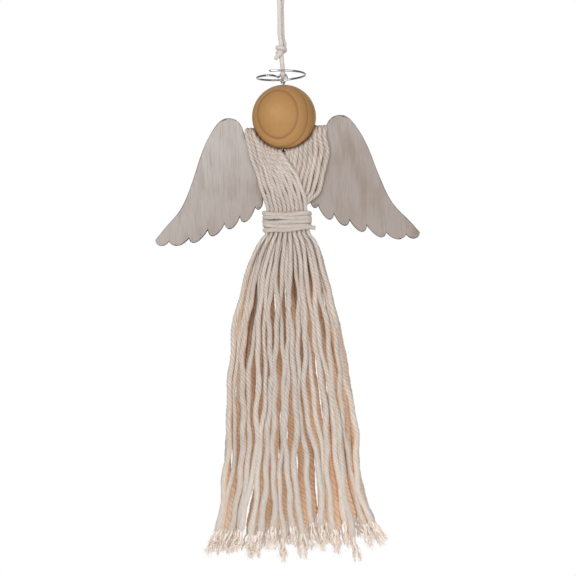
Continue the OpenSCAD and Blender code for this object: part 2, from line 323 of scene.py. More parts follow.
class Nodes:
    """The nodes of one finish: each method adds a node and gives its output."""

    def __init__(self, tree: bpy.types.NodeTree) -> None:
        """Start from an empty tree."""
        self.tree = tree
        tree.nodes.clear()

    def add(
        self, kind: str, sockets: dict[str | int, Input] | None = None, **settings: object
    ) -> bpy.types.Node:
        """Add a node with its settings and links.

        Args:
            kind: The shader node's kind.
            sockets: A value or a linked output for each input.
            **settings: The node's own settings.

        Returns:
            The node.
        """
        added = self.tree.nodes.new("ShaderNode" + kind)
        for name, value in settings.items():
            setattr(added, name, value)
        for key, value in (sockets or {}).items():
            if isinstance(value, Socket):
                self.tree.links.new(value, added.inputs[key])
            else:
                added.inputs[key].default_value = value
        return added

    def math(self, operation: str, *values: Input, clamp: bool = False) -> Socket:
        """Reckon with values."""
        return self.add("Math", dict(enumerate(values)), operation=operation, use_clamp=clamp).outputs[0]

    def dot(self, vector: Socket, other: Point) -> Socket:
        """Multiply two vectors into one value."""
        return self.add("VectorMath", {0: vector, 1: other}, operation="DOT_PRODUCT").outputs["Value"]

    def ranged(self, value: Socket, band: Band, to: Band = (0.0, 1.0), smooth: bool = False) -> Socket:
        """Carry a value from one band into another, and hold it at the ends."""
        sockets = {0: value, 1: band[0], 2: band[1], 3: to[0], 4: to[1]}
        kind = "SMOOTHSTEP" if smooth else "LINEAR"
        return self.add("MapRange", sockets, interpolation_type=kind).outputs[0]

    def mixed(self, share: Socket, first: Socket | str, last: str) -> Socket:
        """Go from a colour, or an output, to a colour."""
        start = linear(first) if isinstance(first, str) else first
        return self.add("Mix", {0: share, 6: start, 7: linear(last)}, data_type="RGBA").outputs[2]

    def noise(self, place: Socket, sizes: Point, detail: float, roughness: float = 0.5) -> Socket:
        """Add a noise whose blotches have the given sizes in millimetres."""
        scale = tuple(1 / (size * MM) for size in sizes)
        scaled = self.add("Mapping", {"Vector": place, "Scale": scale}).outputs[0]
        sockets = {"Vector": scaled, "Scale": 1.0, "Detail": detail, "Roughness": roughness}
        return self.add("TexNoise", sockets).outputs[0]

    def mark(self, mark: Mark) -> Socket:
        """Read a value stored at the mesh's points."""
        kind = "Vector" if mark is Mark.YARN else "Fac"
        return self.add("Attribute", attribute_name=mark.value).outputs[kind]

    def relief(self, height: Socket, strength: float, depth: float) -> Socket:
        """Turn a height into fine relief of a depth in millimetres."""
        sockets = {"Strength": strength, "Distance": depth * MM, "Height": height}
        return self.add("Bump", sockets).outputs[0]

    def surface(self, sockets: dict[str, Input]) -> None:
        """Finish with a surface that has these values."""
        shader = self.add("BsdfPrincipled", sockets)
        self.add("OutputMaterial", {"Surface": shader.outputs[0]})


class Finish:
    """The look of one real material."""

    name: str

    def compose(self, nodes: Nodes) -> None:
        """Put the finish's nodes together."""
        raise NotImplementedError

    def made(self) -> bpy.types.Material:
        """Make the material."""
        material = bpy.data.materials.new(self.name)
        material.use_nodes = True
        self.compose(Nodes(material.node_tree))
        return material


@dataclass(frozen=True)
class CottonCord(Finish):
    """Undyed cotton cord: matte, fuzzy and cream, with brown painted shade between its plies and in its
    crevices.

    The side that faces the inside of the bundle is painted paler and warmer, a painted glow standing in for
    the light that real cotton lets through.  The fibres lie along the cord, drawn coarser than the real 0.02
    mm so that they show.
    """

    name: str = "undyed_cotton_cord"
    cream: str = "#DDD3CA"
    # Painted shade: the brown that the mark for grooves mixes in.
    shade_tan: str = "#8F6C50"
    # Painted glow: the warm pale colour of the inner sides below the wrap.
    inside: str = "#FFDDBE"
    groove_shade_share: float = 0.36
    fibre: Point = (0.3, 0.3, 5.0)
    cloud: Point = (4.0, 4.0, 14.0)
    tuft: Point = (0.8, 0.8, 1.6)
    fibre_levels: Band = (0.8, 1.1)
    cloud_levels: Band = (0.93, 1.04)
    tuft_height: float = 1.6

    def compose(self, nodes: Nodes) -> None:
        """Lay fibres, soft clouds and tufts over cream, the brown painted shade and the warm painted glow
        inside.
        """
        yarn = nodes.mark(Mark.YARN)
        fibres = nodes.noise(yarn, self.fibre, 3.0, 0.6)
        clouds = nodes.noise(yarn, self.cloud, 2.0)
        tufts = nodes.noise(yarn, self.tuft, 2.0)
        # Painted glow: the inward mark mixes in the warm inner colour.
        outer = nodes.mixed(nodes.mark(Mark.INWARD), self.cream, self.inside)
        # Painted shade: the mark for grooves mixes in brown.
        between = nodes.math("MULTIPLY", nodes.mark(Mark.GROOVE), self.groove_shade_share)
        body = nodes.mixed(between, outer, self.shade_tan)
        streaked = nodes.ranged(fibres, NOISE, self.fibre_levels)
        clouded = nodes.ranged(clouds, NOISE, self.cloud_levels)
        grain = nodes.math("MULTIPLY", streaked, clouded)
        level = nodes.math("ADD", grain, nodes.mark(Mark.TONE))
        colour = nodes.add("VectorMath", {0: body, "Scale": level}, operation="SCALE").outputs[0]
        height = nodes.math("MULTIPLY_ADD", tufts, self.tuft_height, fibres)
        nodes.surface(
            {
                "Base Color": colour,
                "Roughness": 0.92,
                "IOR": 1.53,
                "Specular IOR Level": 0.2,
                "Sheen Weight": 0.2,
                "Sheen Roughness": 0.5,
                "Subsurface Weight": 0.2,
                "Subsurface Radius": (1.0, 0.9, 0.8),
                "Subsurface Scale": 1.5 * MM,
                "Normal": nodes.relief(height, 0.6, 0.16),
            }
        )


@dataclass(frozen=True)
class VarnishedPine(Finish):
    """Turned pine with wide growth layers under a satin varnish: honey brown with darker late wood.

    The growth layers are nearly flat sheets whose hollow side faces the front, tipped to the left.
    The centre is the ball's, in metres.
    """

    centre: Point
    name: str = "varnished_turned_pine"
    early: str = "#BA8C52"
    late: str = "#936030"
    # Painted light: the paler wood colour of the ball's lower part, standing in for light bounced up from the
    # cords.
    bounce_light: str = "#CF9E60"
    layer_width: float = 8.57
    layer_bend: float = 38.0
    layer_start: float = 14.0
    layer_tip: float = 0.357
    layer_lean: float = -0.016
    layer_off: float = 0.4
    late_from: Band = (0.74, 0.98)
    late_end: Band = (0.0, 0.09)
    late_share: float = 0.64
    late_creep: float = 0.2
    bounce_from: float = -7.0
    bounce_to: float = -20.0
    drift: Point = (13.0, 13.0, 30.0)
    drift_reach: float = 1.6
    fibre: Point = (0.45, 0.45, 11.0)
    fibre_shares: Band = (-0.1, 0.14)

    def through(self, nodes: Nodes, place: Socket, across: Socket) -> Socket:
        """Say how far through its growth layer a place lies, from 0 to 1."""
        slope = (self.layer_tip / MM, 1 / MM, self.layer_lean / MM)
        flat = nodes.dot(place, slope)
        offset = nodes.math("MULTIPLY_ADD", across, 1 / MM, self.layer_off)
        bulge = nodes.math("MULTIPLY", offset, offset)
        bent = nodes.math("MULTIPLY_ADD", bulge, 0.5 / self.layer_bend, flat)
        drift = nodes.noise(place, self.drift, 1.0)
        wavy = nodes.math("MULTIPLY_ADD", drift, self.drift_reach, bent)
        start = self.layer_start - self.drift_reach / 2
        layers = nodes.math("MULTIPLY_ADD", wavy, 1 / self.layer_width, start / self.layer_width)
        return nodes.math("FRACT", layers)

    def compose(self, nodes: Nodes) -> None:
        """Darken each growth layer towards its late wood, and streak it with fibres."""
        surface = nodes.add("TexCoord").outputs["Object"]
        place = nodes.add("VectorMath", {0: surface, 1: self.centre}, operation="SUBTRACT").outputs[0]
        across, _, up = nodes.add("SeparateXYZ", {0: place}).outputs
        through = self.through(nodes, place, across)
        rising = nodes.ranged(through, self.late_from, (0.0, self.late_share), smooth=True)
        falling = nodes.ranged(through, self.late_end, (self.late_share, 0.0), smooth=True)
        line = nodes.math("MAXIMUM", rising, falling)
        creeping = nodes.ranged(through, (0.1, 1.0), (0.0, self.late_creep))
        late = nodes.math("MAXIMUM", line, creeping)
        fibres = nodes.noise(place, self.fibre, 4.0, 0.55)
        share = nodes.math("ADD", late, nodes.ranged(fibres, NOISE, self.fibre_shares), clamp=True)
        # Painted light: paler towards the bottom, for light bounced up from the cords.
        bounce_share = nodes.ranged(up, (self.bounce_from * MM, self.bounce_to * MM))
        nodes.surface(
            {
                "Base Color": nodes.mixed(share, nodes.mixed(bounce_share, self.early, self.bounce_light), self.late),
                "Roughness": nodes.ranged(fibres, (0.2, 0.8), (0.55, 0.65)),
                "IOR": 1.5,
                "Coat Weight": 0.1,
                "Coat Roughness": 0.4,
                "Normal": nodes.relief(fibres, 0.03, 0.1),
            }
        )


@dataclass(frozen=True)
class WhitewashedPlywood(Finish):
    """Three-millimetre plywood, wiped with thin white paint and cut by a hot beam.

    The paint lies pale grey in the grain and is painted darker downwards and to the right, as painted shade.
    It lets warm wood through in soft patches, more of them in the painted shade, and the cut edge is charred
    in places.
    """

    name: str = "whitewashed_plywood"
    paint: str = "#C4BDB8"
    # Painted shade: the paint's colour at the lower right.
    thin: str = "#ABA099"
    worn: str = "#97887C"
    grain: str = "#8F8178"
    char: str = "#54443A"
    pore: Point = (0.7, 0.7, 16.0)
    patch: Point = (10.0, 10.0, 26.0)
    lower_right_slope: float = -1.5
    shade_from: float = 102.0
    shade_to: float = 222.0
    worn_band: Band = (0.46, 0.72)
    worn_thick: float = 0.3
    worn_in_shade: float = 0.5
    pore_band: Band = (0.5, 0.72)
    pore_share: float = 0.6
    edge_band: Band = (0.985, 0.75)
    char_band: Band = (0.4, 0.58)
    char_least: float = 0.3

    def compose(self, nodes: Nodes) -> None:
        """Wipe paint over the grain, paint shade on it towards the lower right, wear it off in patches and
        char the edge.
        """
        coordinates = nodes.add("TexCoord").outputs
        place = coordinates["Object"]
        pores = nodes.noise(place, self.pore, 5.0, 0.6)
        patches = nodes.noise(place, self.patch, 3.0)
        # Painted shade: the paint darkens towards the lower right, and the worn patches grow there.
        toward_lower_right = nodes.dot(place, (1.0, 0.0, self.lower_right_slope))
        wiped = nodes.ranged(toward_lower_right, (self.shade_from * MM, self.shade_to * MM))
        paint = nodes.mixed(wiped, self.paint, self.thin)
        bare = nodes.math("MULTIPLY_ADD", wiped, self.worn_in_shade, self.worn_thick)
        worn = nodes.math("MULTIPLY", nodes.ranged(patches, self.worn_band), bare)
        washed = nodes.mixed(worn, paint, self.worn)
        grained = nodes.mixed(nodes.ranged(pores, self.pore_band, (0.0, self.pore_share)), washed, self.grain)
        facing = nodes.add("SeparateXYZ", {0: coordinates["Normal"]}).outputs[1]
        edge = nodes.ranged(nodes.math("ABSOLUTE", facing), self.edge_band)
        burnt = nodes.math("MULTIPLY", edge, nodes.ranged(patches, self.char_band, (self.char_least, 1.0)))
        nodes.surface(
            {
                "Base Color": nodes.mixed(burnt, grained, self.char),
                "Roughness": nodes.ranged(pores, (0.2, 0.8), (0.68, 0.84)),
                "IOR": 1.5,
                "Specular IOR Level": 0.35,
                "Normal": nodes.relief(pores, 0.3, 0.12),
            }
        )


@dataclass(frozen=True)
class DrawnWire(Finish):
    """Bright plated steel wire: mirror-like, with faint lines along it from the die."""

    name: str = "bright_plated_steel_wire"
    metal: str = "#C6C9CE"
    line: Point = (0.12, 0.12, 20.0)

    def compose(self, nodes: Nodes) -> None:
        """Draw faint lines along bright metal."""
        lines = nodes.noise(nodes.mark(Mark.YARN), self.line, 2.0)
        nodes.surface(
            {
                "Base Color": linear(self.metal),
                "Metallic": 1.0,
                "Roughness": nodes.ranged(lines, NOISE, (0.14, 0.26)),
                "Normal": nodes.relief(lines, 0.06, 0.02),
            }
        )


@dataclass(frozen=True)
class MattePaper(Finish):
    """Pale matte backdrop paper for the floor."""

    name: str = "matte_backdrop_paper"
    white: str = "#F4F3F1"

    def compose(self, nodes: Nodes) -> None:
        """Leave the paper plain."""
        nodes.surface({"Base Color": linear(self.white), "Roughness": 0.9})


@dataclass(frozen=True)
class Bench:
    """Sizes that several pieces share, measured from the middle of the head."""

    head_r: float
    head_z: float
    wing_t: float
    eye_rise: float = 4.7
    wire_d: float = 1.2
    leg_pitch: float = 1.7
    hanger_d: float = 2.6
    eye_play: float = 0.5
    neck_play: float = 1.3
    neck_hole_edge: float = 4.6
    neck_gap: float = 0.7
    clear: float = 0.3
    left_count: int = 10
    right_count: int = 9
    chest_d: float = 1.9
    waist_d: float = 2.3
    waist_pitch: float = 2.55
    waist_drop: float = 58.2
    bound_r: float = 1.35
    wrap_d: float = 2.4
    wrap_pitch: float = 2.85
    wrap_passes: int = 5

    @classmethod
    def from_frame(cls) -> "Bench":
        """Take the head's and the panel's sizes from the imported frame."""
        low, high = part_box("head_ball")
        front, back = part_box("wing_panel")
        return cls(
            head_r=(high.x - low.x) / 2 / MM,
            head_z=(high.z + low.z) / 2 / MM,
            wing_t=(back.y - front.y) / MM,
        )

    @property
    def fold_r(self) -> float:
        """Radius of the arc that the cords' folds follow under the head."""
        return self.head_r + self.neck_gap + self.chest_d / 2

    @property
    def fold_h(self) -> float:
        """Radius of each cord's own fold over the panel."""
        return self.wing_t / 2 + self.clear + self.chest_d / 2

    @property
    def neckline_r(self) -> float:
        """Radius of the panel's neckline."""
        inside = self.fold_h - self.chest_d / 2
        return self.fold_r + self.fold_h - math.sqrt(inside**2 - self.wing_t**2 / 4)

    @property
    def nod_z(self) -> float:
        """Height of the wire's bight in the neck hole."""
        hole_top = -self.neckline_r - self.neck_hole_edge + self.wire_d / 2 + self.neck_play
        return hole_top - self.wire_d / 2 - self.clear - 0.1

    @property
    def wrap_h(self) -> float:
        """Height of the waist wrap."""
        return (self.wrap_passes - 1) * self.wrap_pitch + self.wrap_d

    @property
    def chest_end(self) -> float:
        """Height at which the cords reach the waist."""
        return -self.waist_drop + 1

    @property
    def skirt_top(self) -> float:
        """Height at which the cords fan out below the wrap."""
        return -self.waist_drop - self.wrap_h - 2

    @property
    def layers(self) -> tuple[float, float]:
        """Distances of the inner and outer cords at the waist from the panel's middle."""
        inner = self.waist_d / 2 + 0.2
        return inner, inner + self.waist_d + 0.1

    def count(self, side: Side) -> int:
        """Count the cords over one shoulder."""
        return self.left_count if side is Side.LEFT else self.right_count

    def waist_x(self, side: Side, k: int) -> float:
        """Place a cord at the waist."""
        return self.waist_pitch * (k - (self.count(side) - 1) / 2)

    def lowered(self, path: np.ndarray) -> np.ndarray:
        """Move a route from the head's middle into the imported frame."""
        return path + (0, 0, self.head_z)


@dataclass(frozen=True)
class Fray:
    """The untwisted end of a cord: its plies part, wave and end in loose fibres."""

    length: float = 15.0
    loosened: float = 12.0
    swollen: float = 0.12
    thinned: float = 0.3
    plies: int = 4
    ply_r: float = 0.75
    fibres: int = 12
    fibre_r: float = 0.21
    tip_share: float = 0.4
    spread: float = 3.4
    fluff: float = 1.6
    widest: float = 3.7
    wave: float = 1.5
    overlap: float = 4.0
    # The plies and fibres are paler, partly their own loose paleness and partly painted light standing in for
    # light that passes through them; warmth gives them the colour of the painted glow.
    paler: float = 0.42
    warmth: float = 0.12
    sides: int = 6
    points: int = 16

    def radii(self, radii: np.ndarray, to_end: np.ndarray) -> np.ndarray:
        """Swell a cord where its twist opens, and taper it into its plies near its end."""
        swell = 1 + self.swollen * ease((self.length + self.loosened - to_end) / self.loosened)
        taper = blend(1.0, self.thinned, ease((self.length + 3 - to_end) / 6))
        return radii * swell * taper

    def parted(self, draws: np.random.Generator, angle: float, radius: float) -> np.ndarray:
        """Lead a ply away from the cord's middle.

        Args:
            draws: This end's own draws.
            angle: Where the ply lies round the cord.
            radius: The cord's radius.

        Returns:
            Rows of two distances from the cord's middle, square to it.
        """
        share = np.linspace(0, 1, self.points)
        reach = 0.5 * radius + self.spread * draws.uniform(0.1, 1) * share**1.5
        turned = angle + draws.normal(0, 0.5) * share
        waves = self.wave * share * np.sin(share * draws.uniform(8, 17) + draws.uniform(0, 6))
        aside = draws.uniform(0, FULL_TURN)
        across = reach * np.cos(turned) + waves * math.cos(aside)
        return np.stack([across, reach * np.sin(turned) + waves * math.sin(aside)], axis=1)

    def add(self, gathered: Gathered, end: np.ndarray, radius: float, seed: int, tone: float) -> None:
        """Add the plies and fibres of one end.

        Args:
            gathered: The mesh to add them to.
            end: The last stretch of the cord's path, down to its end.
            radius: The cord's radius.
            seed: Seed of this end's own draws.
            tone: The cord's tone.
        """
        draws = np.random.default_rng(seed)
        ahead, normals, across = carried_frames(end)
        square = np.stack([normals[-1], across[-1]])
        taper = np.linspace(1, self.tip_share, self.points)
        for ply in range(self.plies):
            angle = FULL_TURN * (ply + draws.uniform(-0.3, 0.3)) / self.plies
            aside = self.parted(draws, angle, radius)
            finish = draws.triangular(-6.0, -1.5, 0.6)
            path = self.strand(end, ahead[-1], aside @ square, finish)
            gathered.add(swept(path, self.ply_r * taper, self.sides), tone + self.paler, self.warmth)
            for _ in range(self.fibres):
                loose = np.linspace(-draws.uniform(0.3, 1.5), 1, self.points).clip(0)
                curl = 1 + 0.8 * np.sin(loose * draws.uniform(5, 18))
                stray = aside + (loose * curl)[:, None] * draws.normal(0, self.fluff, 2)
                later = min(finish + draws.triangular(-3.0, 0.5, 2.5), 1.0)
                path = self.strand(end, ahead[-1], stray @ square, later)
                paler = tone + self.paler + draws.uniform(-0.03, 0.07)
                gathered.add(swept(path, self.fibre_r * taper, self.sides), paler, self.warmth)

    def strand(self, end: np.ndarray, onward: np.ndarray, aside: np.ndarray, finish: float) -> np.ndarray:
        """Route a ply or a fibre down the end of a cord.

        Args:
            end: The last stretch of the cord's path.
            onward: The direction in which the path ends.
            aside: The strand's distance from the path at each of its points.
            finish: How far beyond the path it ends.

        Returns:
            Points, one row each.
        """
        along = distances(end)
        places = np.linspace(along[-1] - self.length - self.overlap, along[-1] + finish, self.points)
        base = np.stack([np.interp(places, along, column) for column in end.T], axis=1)
        base += np.clip(places - along[-1], 0, None)[:, None] * onward
        away = np.linalg.norm(aside, axis=1, keepdims=True)
        return base + aside * self.widest * np.tanh(away / self.widest) / np.maximum(away, 1e-6)


@dataclass(frozen=True)
class Drape:
    """How the cords fold over the panel and slant across the chest to the waist."""

    bench: Bench
    left_gap: float = 0.36
    right_gap: float = 0.73
    wire_gap: float = 0.15
    shoulder_drop: float = 7.2
    pressed: float = 1.1
    crowded: float = 0.9
    skew: float = 0.8
    left_r: float = 1.56
    right_r: float = 1.89
    thinned_by: float = 0.1
    thinned_from: float = 2.5
    thinned_over: float = 4.0
    front_widening: float = 3.5
    back_widening: float = 13.0
    left_bow: float = 0.93
    left_bow_more: float = 0.87
    bag: float = 7.0
    bag_start: float = 0.25
    bag_full: float = 0.3
    bag_until: float = 0.78
    squeeze_from: float = 0.74
    right_later: float = 0.45
    over_lift: float = 0.7
    lift_before: float = 7.0
    lift_over: float = 4.0
    wire_room: float = 1.0
    wire_room_w: float = 3.0
    wire_room_h: float = 6.0
    wire_room_rise: float = 2.0
    stir: float = 0.3
    settled: float = 0.2

    @property
    def slant_top(self) -> float:
        """Height at which the cords start to slant to the waist."""
        return -self.bench.fold_r - self.bench.fold_h

    def fold_x(self, side: Side, k: int) -> float:
        """Place a cord's fold along the neckline."""
        bench = self.bench
        inner = (bench.wire_d + bench.leg_pitch + bench.chest_d) / 2 + self.wire_gap
        if side is Side.LEFT:
            return -inner - (bench.left_count - 1 - k) * (bench.chest_d + self.left_gap)
        return inner + k * (bench.chest_d + self.right_gap)

    def fold_z(self, x: float) -> float:
        """Give the height of a fold at x."""
        reach = (self.bench.fold_r - self.pressed) ** 2 - (abs(x) + self.crowded) ** 2
        return -math.sqrt(max(reach, self.shoulder_drop**2))

    def slant(self, z: np.ndarray) -> np.ndarray:
        """Say how far the cords have slanted at a height, from 0 to 1."""
        return np.clip((self.slant_top - z) / (self.slant_top - self.bench.chest_end), 0, 1)

    def x(self, side: Side, k: int, z: np.ndarray) -> np.ndarray:
        """Place a cord on the chest at a height: it slants from its fold to the waist.

        Args:
            side: The cord's shoulder.
            k: The cord's number on that shoulder, from 0.
            z: Heights.

        Returns:
            Distances to the right.
        """
        fold, waist = self.fold_x(side, k), self.bench.waist_x(side, k)
        top = self.fold_z(fold) - self.bench.fold_h
        down = np.clip((top - z) / (top - self.bench.chest_end), 0, 1)
        share = k / (self.bench.count(side) - 1)
        loose = ease(down / self.settled) * (1 - ease((down - 1 + self.settled) / self.settled))
        pace = 2.6 + 0.5 * jitter(9 * k)
        waves = self.stir * loose * np.sin(z / pace + 3 * jitter(7 * k + 3 * side.value))
        if side is Side.LEFT:
            bow = self.left_bow + self.left_bow_more * share**1.5
            return waves + blend(fold, waist, 1 - (1 - down) ** bow)
        bulge = blend(self.bag_start, 1.0, ease(down / self.bag_full))
        bulge = bulge * (1 - ease((down - self.bag_until) / (1 - self.bag_until)))
        return 0.5 * waves + blend(fold, waist, down) + self.bag * share**1.15 * bulge

    def y(self, side: Side, k: int, z: np.ndarray) -> np.ndarray:
        """Give a cord's distance from the panel's middle.

        The left cords ride over the right ones, and those that cross the wire make room for it.

        Args:
            side: The cord's shoulder.
            k: The cord's number on that shoulder, from 0.
            z: Heights.

        Returns:
            Distances.
        """
        inner = self.bench.fold_h
        outer = inner + self.bench.chest_d + self.over_lift
        left = side is Side.LEFT
        drawn_in = self.squeeze_from if left else blend(self.squeeze_from, 1, self.right_later)
        squeeze = ease((self.slant(z) - drawn_in) / (1 - drawn_in))
        x = self.x(side, k, z)
        ahead = x - self.x(Side.RIGHT, 0, z)
        lift = np.maximum(ease((ahead + self.lift_before) / self.lift_over), squeeze) if left else 0.0
        pace = 3.1 + 0.6 * jitter(5 * k)
        stir = self.stir * (1 - squeeze) * np.sin(z / pace + 3 * jitter(11 * k))
        above = z - self.bench.nod_z - self.wire_room_rise
        over_wire = self.wire_room * np.exp(-((x / self.wire_room_w) ** 2) - (above / self.wire_room_h) ** 2)
        return blend(blend(inner, outer, lift), self.bench.layers[left], squeeze) + stir + over_wire

    def route(self, side: Side, k: int, face: Face) -> np.ndarray:
        """Route half a cord from the top of its fold to the waist.

        Args:
            side: The cord's shoulder.
            k: The cord's number on that shoulder, from 0.
            face: The panel's face.

        Returns:
            Rows of a point and the cord's radius there.
        """
        bench = self.bench
        fold_x = self.fold_x(side, k)
        top = self.fold_z(fold_x)
        low = top - bench.fold_h
        turn = np.linspace(0, math.pi / 2, 9)
        over = top - bench.fold_h * (1 - np.cos(turn))
        down = np.linspace(low, bench.chest_end, 40)[1:]
        z = np.concatenate([over, down])
        skew = np.concatenate([np.sin(turn), 1 - ease(2 * self.slant(down))])
        y = np.concatenate([self.y(side, k, low) * np.sin(turn), self.y(side, k, down)])
        full = self.left_r if side is Side.LEFT else self.right_r
        thin = bench.chest_d / 2 - self.thinned_by
        fold_r = blend(thin, full, ease((abs(fold_x) - self.thinned_from) / self.thinned_over))
        past_fold = np.concatenate([bench.fold_h * turn, bench.fold_h * math.pi / 2 + low - down])
        widening = self.front_widening if face is Face.FRONT else self.back_widening
        widened = blend(fold_r, full, ease(past_fold / widening))
        radii = blend(widened, bench.bound_r, ease(self.slant(z)))
        across = self.x(side, k, z) + self.skew * face.value * skew
        return np.stack([across, face.value * y, z, radii], axis=1)


@dataclass(frozen=True)
class Wave:
    """A wave along a fall, with a pace of its own for each cord."""

    size: float
    pace: float
    varied: float
    draw: int

    def at(self, seed: int, t: np.ndarray) -> np.ndarray:
        """Give the wave of one cord at shares of its fall."""
        pace = self.pace + self.varied * jitter(seed + self.draw)
        return self.size * np.sin(pace * t + 3 * jitter(seed + self.draw + 1))


@dataclass(frozen=True)
class Skirt:
    """How the cords fall freely from the wrap to the hem."""

    bench: Bench
    length: float = 192.0
    past_hem: float = 5.0
    uneven_hem: float = 5.0
    hem_w: float = 55.0
    hem_round: float = 9.0
    hem_depth: float = 19.0
    right_depth: float = 0.92
    staggered: float = 0.25
    radius: float = 1.75
    front_thick: float = 0.95
    back_thick: float = 1.3
    varied_thick: float = 0.09
    hem_swell: float = 0.12
    flare: float = 1.13
    fan: float = 0.45
    fan_late: float = 0.22
    left_belly: float = 0.7
    right_belly: float = 0.56
    aside: float = -1.7
    crossing: float = 2.0
    mixed: float = 1.7
    steadier: float = 0.3
    wander: float = 1.15
    wander_soon: float = 4.0
    part_soon: float = 9.0
    aside_by: float = 0.15
    bowed: float = 0.9
    sideways: tuple[Wave, ...] = (Wave(1.0, 10, 4, 5), Wave(0.5, 21, 6, 9), Wave(0.4, 47, 9, 12))
    forward: Wave = Wave(1.0, 9, 4, 7)

    def spread(self, t: np.ndarray) -> np.ndarray:
        """Say how far the cords have fanned out at shares of the fall: quickly at first, and at the hem."""
        start = 0.005
        first, last = start**self.fan, (1 + start) ** self.fan
        quickly = ((t + start) ** self.fan - first) / (last - first)
        return blend(quickly, t**8, self.fan_late)

    def hem_place(self, side: Side, k: int) -> float:
        """Place a cord along the hem, from -1 to 1: the right cords hang between the left ones."""
        half = (self.bench.left_count - 1) / 2 if side is Side.LEFT else self.bench.right_count / 2
        return (k - (self.bench.count(side) - 1) / 2) / half

    def sway(self, place: float, calm: float, seed: int, t: np.ndarray) -> np.ndarray:
        """Sway a cord sideways with its neighbours, and by a calmed share on its own."""
        slow = 1.6 * np.sin(np.radians(450 * t + 290 * place))
        quick = 0.9 * np.sin(np.radians(800 * t - 400 * place))
        own = 0.7 * jitter(seed + 1) * np.sin(math.pi * t) + 0.6 * jitter(seed + 2) * np.sin(3 * math.pi * t)
        return t * (slow + quick + calm * own)

    def route(self, side: Side, k: int, face: Face) -> np.ndarray:
        """Route a cord's free fall from the wrap to the hem.

        Args:
            side: The cord's shoulder.
            k: The cord's number on that shoulder, from 0.
            face: The panel's face.

        Returns:
            Rows of a point and the cord's radius there.
        """
        bench, left, front = self.bench, side is Side.LEFT, face is Face.FRONT
        t = np.linspace(0, 1, 160)
        turn, flip = side.value + 1, face.value + 1
        seed = 3 * k + 31 * turn + 11 * flip
        place = self.hem_place(side, k)
        hem_x = self.hem_w * (place + self.staggered * face.value / (bench.left_count - 1))
        hem_x += jitter(k + 20 * turn + 7 * flip)
        depth = self.hem_depth * (1.0 if left else self.right_depth)
        hem_y = depth * math.sqrt(1 - (hem_x / (self.hem_w + self.hem_round)) ** 2)
        calm = 1.0 if front else self.steadier
        loose = self.wander * calm * ease(self.wander_soon * t)
        x = blend(bench.waist_x(side, k) * self.flare, hem_x, self.spread(t))
        x += self.sway(place, calm, seed, t) + self.aside * ease(t / self.aside_by)
        x += loose * sum(wave.at(seed, t) for wave in self.sideways)
        x += calm * self.crossing * jitter(seed + 21) * t**4
        x += calm * self.mixed * jitter(seed + 23) * ease(self.part_soon * t) * (1 - t) ** 2
        belly = self.left_belly if left else self.right_belly
        y = blend(bench.layers[left] * self.flare, hem_y, t**belly)
        y += self.wander * jitter(seed + 15) * ease(self.part_soon * t)
        y += self.bowed * jitter(seed + 3) * np.sin(FULL_TURN * t) * t
        y += loose * self.forward.at(seed, t)
        z = bench.skirt_top - t * (self.length + self.past_hem + self.uneven_hem * jitter(seed + 4))
        varied = self.varied_thick * jitter(5 * k + 13 * side.value + 3 * face.value)
        thick = self.radius * ((self.front_thick if front else self.back_thick) + varied)
        radii = blend(bench.bound_r, thick, ease(2 * t + 0.1))
        radii = radii * (1 + self.hem_swell * ease((t - 0.35) / 0.5))
        return np.stack([x, face.value * y, z, radii], axis=1)


@dataclass(frozen=True)
class CordShade:
    """Where the cords' twist opens, where they are painted darker as shade or warmer as glow, and where they
    are paler.
    """

    untwisted: float = 100.0
    opened: float = 0.8
    back_opened: float = 0.15
    chest_tight: float = 0.15
    # Painted shade: darkens the chest cords where they press together.
    crevice_shade: float = 1.9
    # How far below the wrap the painted glow comes in.
    lit_below: float = 42.0
    # Painted shadow where the cords touch the ball: its darkness, its reach and how much it dims their tone.
    contact_shadow: float = 2.6
    contact_shadow_reach: float = 2.8
    contact_shadow_dim: float = 0.42
    varied_tone: float = 0.08
    chest_pale: float = 0.03
    hem_pale: float = 0.04
    back_pale: float = 0.08
    back_varied: float = 0.16
    # Painted shade: darkens the sides of the back falls below the wrap.
    back_edge_shade: float = 0.8


@dataclass(frozen=True)
class Strand:
    """One whole cord, from its front hem over the panel to its back hem."""

    path: np.ndarray
    radii: np.ndarray

    @property
    def length(self) -> float:
        """The cord's length."""
        return float(distances(self.path)[-1])

    @property
    def to_end(self) -> np.ndarray:
        """Each point's distance from the nearer end."""
        along = distances(self.path)
        return np.minimum(along, along[-1] - along)

    @property
    def behind(self) -> np.ndarray:
        """Whether each point lies behind the panel's middle."""
        return self.path[:, 1] > 0


